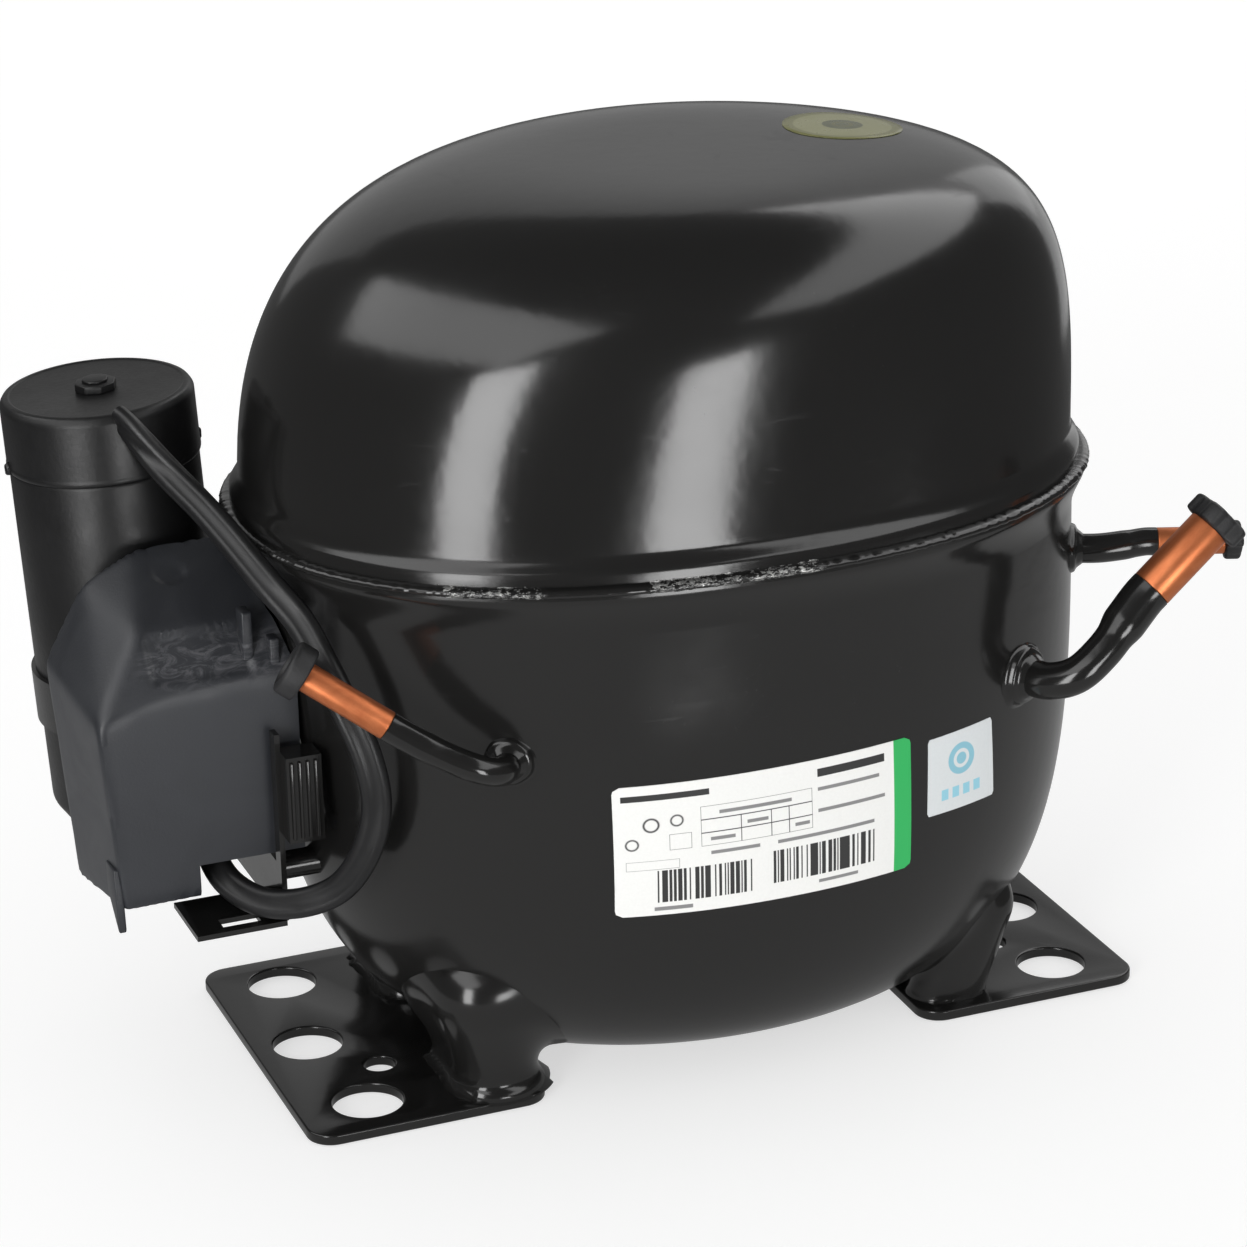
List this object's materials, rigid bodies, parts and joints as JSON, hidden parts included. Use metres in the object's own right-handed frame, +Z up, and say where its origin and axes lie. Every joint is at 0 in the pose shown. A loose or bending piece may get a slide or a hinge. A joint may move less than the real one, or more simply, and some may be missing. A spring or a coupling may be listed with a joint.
{
  "type": "hermetic reciprocating compressor",
  "caption": "Hermetic refrigeration compressor: welded oval steel housing on base plates, spring-hung motor and piston pump inside, terminal cover and start capacitor outside.",
  "frame": {"origin": "centre of the four-hole foot pattern, on the surface the base plates stand on", "axes": "+Z up, +X along the housing towards the suction and discharge tubes, -Y the rating label side; the starting gear is at -X"},
  "size_m": [0.271, 0.1486, 0.201],
  "materials": {
    "shell_enamel": "glossy black enamel",
    "weld_enamel": "painted weld bead, chipped to bright steel",
    "plate_enamel": "glossy black enamel",
    "tube_enamel": "glossy black enamel over copper",
    "copper": "bare satin copper",
    "cup_steel": "plated steel",
    "seal_glass": "fused glass",
    "pin_steel": "plated steel",
    "bracket_enamel": "glossy black enamel",
    "relay_plastic": "moulded",
    "protector_shell": "moulded",
    "capacitor_plastic": "satin moulded",
    "strap_steel": "blackened",
    "lead_sheath": "satin",
    "seat_steel": "turned",
    "plug_nylon": "moulded",
    "motor_wire": "sleeved",
    "cover_plastic": "satin moulded",
    "stopper_rubber": "satin",
    "grey_iron": "machined",
    "lamination": "stacked sheet",
    "winding_copper": "varnished",
    "bolt_steel": "plated",
    "gasket_fibre": "fibre",
    "valve_steel": "ground",
    "head_aluminium": "die cast",
    "muffler_plastic": "moulded",
    "muffler_steel": "pressed",
    "loop_steel": "copper plated",
    "spring_steel": "drawn wire",
    "shaft_steel": "ground",
    "cage_aluminium": "cast",
    "rod_aluminium": "cast",
    "reed_steel": "rolled"
  },
  "bodies": {
    "housing": {"lower_shell": "shell_enamel", "upper_shell": "shell_enamel", "weld_seam": "weld_enamel", "left_base_plate": "plate_enamel", "right_base_plate": "plate_enamel", "suction_tube": "tube_enamel", "suction_tube_end": "copper", "discharge_tube": "tube_enamel", "discharge_tube_end": "copper", "process_tube": "tube_enamel", "process_tube_end": "copper", "tube_collars": "tube_enamel", "terminal_cup": "cup_steel", "terminal_glass": "seal_glass", "terminal_pins": "pin_steel", "terminal_bracket": "bracket_enamel", "start_relay": "relay_plastic", "overload_protector": "protector_shell", "capacitor_body": "capacitor_plastic", "capacitor_cap": "capacitor_plastic", "capacitor_strap": "strap_steel", "capacitor_lead": "lead_sheath", "lower_spring_pins": "seat_steel", "terminal_plug": "plug_nylon", "motor_leads": "motor_wire"},
    "cover": {"terminal_cover": "cover_plastic"},
    "suction_stopper": {"suction_plug": "stopper_rubber"},
    "discharge_stopper": {"discharge_plug": "stopper_rubber"},
    "process_stopper": {"process_plug": "stopper_rubber"},
    "pump": {"crankcase": "grey_iron", "stator_core": "lamination", "stator_windings": "winding_copper", "stator_bolts": "bolt_steel", "cylinder_gasket": "gasket_fibre", "valve_plate": "valve_steel", "head_gasket": "gasket_fibre", "cylinder_head": "head_aluminium", "head_bolts": "bolt_steel", "suction_muffler": "muffler_plastic", "discharge_muffler": "muffler_steel", "discharge_loop": "loop_steel", "suspension_springs": "spring_steel", "upper_spring_pins": "seat_steel", "reed_stop": "valve_steel"},
    "crank": {"crankshaft": "shaft_steel", "rotor_core": "lamination", "rotor_cage": "cage_aluminium", "counterweight": "grey_iron", "oil_pickup": "muffler_steel"},
    "piston_group": {"piston": "grey_iron", "wrist_pin": "shaft_steel"},
    "rod": {"connecting_rod": "rod_aluminium"},
    "suction_leaf": {"suction_reed": "reed_steel"},
    "discharge_leaf": {"discharge_reed": "reed_steel"}
  },
  "joints": [
    {"name": "pump_bounce", "type": "slide", "parent": "housing", "child": "pump", "axis": [0, 0, 1], "range_m": [-0.002, 0.002], "stiffness_N_per_m": 24000, "springref_m": 0.00211, "deforming": ["suspension_springs", "discharge_loop", "motor_leads"]},
    {"name": "crank_spin", "type": "hinge", "parent": "pump", "child": "crank", "pos_m": [-0.012, 0, 0.1], "axis": [0, 0, 1], "continuous": true},
    {"name": "piston_slide", "type": "slide", "parent": "pump", "child": "piston_group", "axis": [1, 0, 0], "range_m": [-0.02, 0]},
    {"name": "rod_swing", "type": "hinge", "parent": "piston_group", "child": "rod", "pos_m": [0.044, 0, 0.146], "axis": [0, 0, 1], "range_deg": [-12.56, 12.56]},
    {"name": "suction_reed_lift", "type": "hinge", "parent": "pump", "child": "suction_leaf", "pos_m": [0.05685, 0, 0.132], "axis": [0, -1, 0], "range_deg": [0, 3], "stiffness_Nm_per_rad": 0.05},
    {"name": "discharge_reed_lift", "type": "hinge", "parent": "pump", "child": "discharge_leaf", "pos_m": [0.06035, 0, 0.132], "axis": [0, 1, 0], "range_deg": [0, 3], "stiffness_Nm_per_rad": 0.05},
    {"name": "cover_pull", "type": "slide", "parent": "housing", "child": "cover", "axis": [-1, 0, 0], "range_m": [0, 0.045]},
    {"name": "suction_plug_pull", "type": "slide", "parent": "housing", "child": "suction_stopper", "axis": [0.7483, -0.016, 0.6632], "range_m": [0, 0.03]},
    {"name": "discharge_plug_pull", "type": "slide", "parent": "housing", "child": "discharge_stopper", "axis": [0.9499, -0.312, -0.02], "range_m": [0, 0.03]},
    {"name": "process_plug_pull", "type": "slide", "parent": "housing", "child": "process_stopper", "axis": [-0.759, 0.347, 0.551], "range_m": [0, 0.03]}
  ]
}
